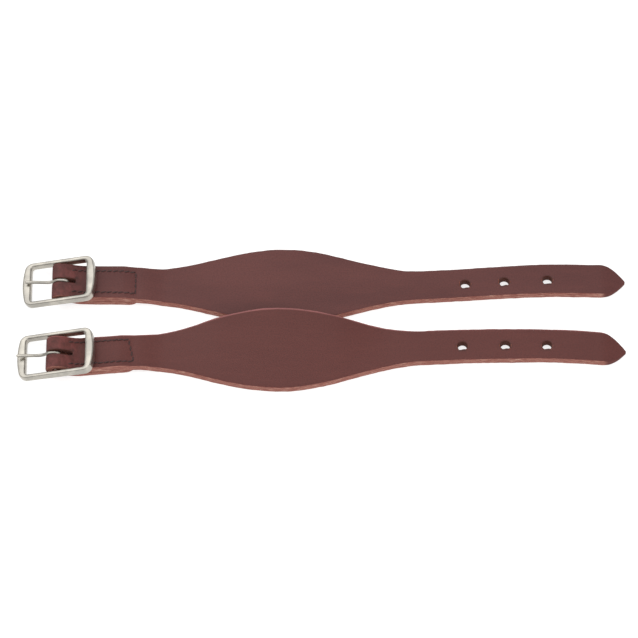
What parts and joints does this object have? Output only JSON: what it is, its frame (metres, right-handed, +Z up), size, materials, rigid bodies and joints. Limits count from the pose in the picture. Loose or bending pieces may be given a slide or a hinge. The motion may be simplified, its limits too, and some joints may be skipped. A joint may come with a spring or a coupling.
{
  "type": "pair of western spur straps",
  "caption": "Pair of contoured leather spur straps, wide in the middle, each with a centre-bar buckle stitched in a fold and a pointed, punched billet.",
  "frame": {"origin": "middle of the pair's footprint on the surface that the straps lie on", "axes": "+X towards the pointed tips, +Y from the front strap to the rear strap, +Z up through the leather"},
  "size_m": [0.3036, 0.0799, 0.0143],
  "materials": {
    "leather": "waxed burgundy-brown grain, rough cut edges",
    "nickel": "satin nickel plate",
    "thread": "waxed black thread"
  },
  "bodies": {
    "strap_a": {"strap_leather_a": "leather", "needle_thread_a": "thread", "bobbin_thread_a": "thread"},
    "buckle_a": {"buckle_frame_a": "nickel", "centre_bar_a": "nickel"},
    "tongue_a": {"buckle_tongue_a": "nickel"},
    "strap_b": {"strap_leather_b": "leather", "needle_thread_b": "thread", "bobbin_thread_b": "thread"},
    "buckle_b": {"buckle_frame_b": "nickel", "centre_bar_b": "nickel"},
    "tongue_b": {"buckle_tongue_b": "nickel"}
  },
  "joints": [
    {"name": "buckle_swing_a", "type": "hinge", "parent": "strap_a", "child": "buckle_a", "pos_m": [-0.1314, 0.0198, 0.00643], "axis": [0, -1, 0], "range_deg": [0, 120]},
    {"name": "tongue_swing_a", "type": "hinge", "parent": "buckle_a", "child": "tongue_a", "pos_m": [-0.1314, 0.0198, 0.00643], "axis": [0, 1, 0], "range_deg": [0, 145]},
    {"name": "buckle_swing_b", "type": "hinge", "parent": "strap_b", "child": "buckle_b", "pos_m": [-0.13185, -0.022, 0.00668], "axis": [0, -1, 0], "range_deg": [0, 120]},
    {"name": "tongue_swing_b", "type": "hinge", "parent": "buckle_b", "child": "tongue_b", "pos_m": [-0.13185, -0.022, 0.00668], "axis": [0, 1, 0], "range_deg": [0, 145]},
    {"name": "lift_off_strap_b", "type": "slide", "parent": "strap_a", "child": "strap_b", "axis": [0, 0, 1], "range_m": [0, 0.05]}
  ]
}
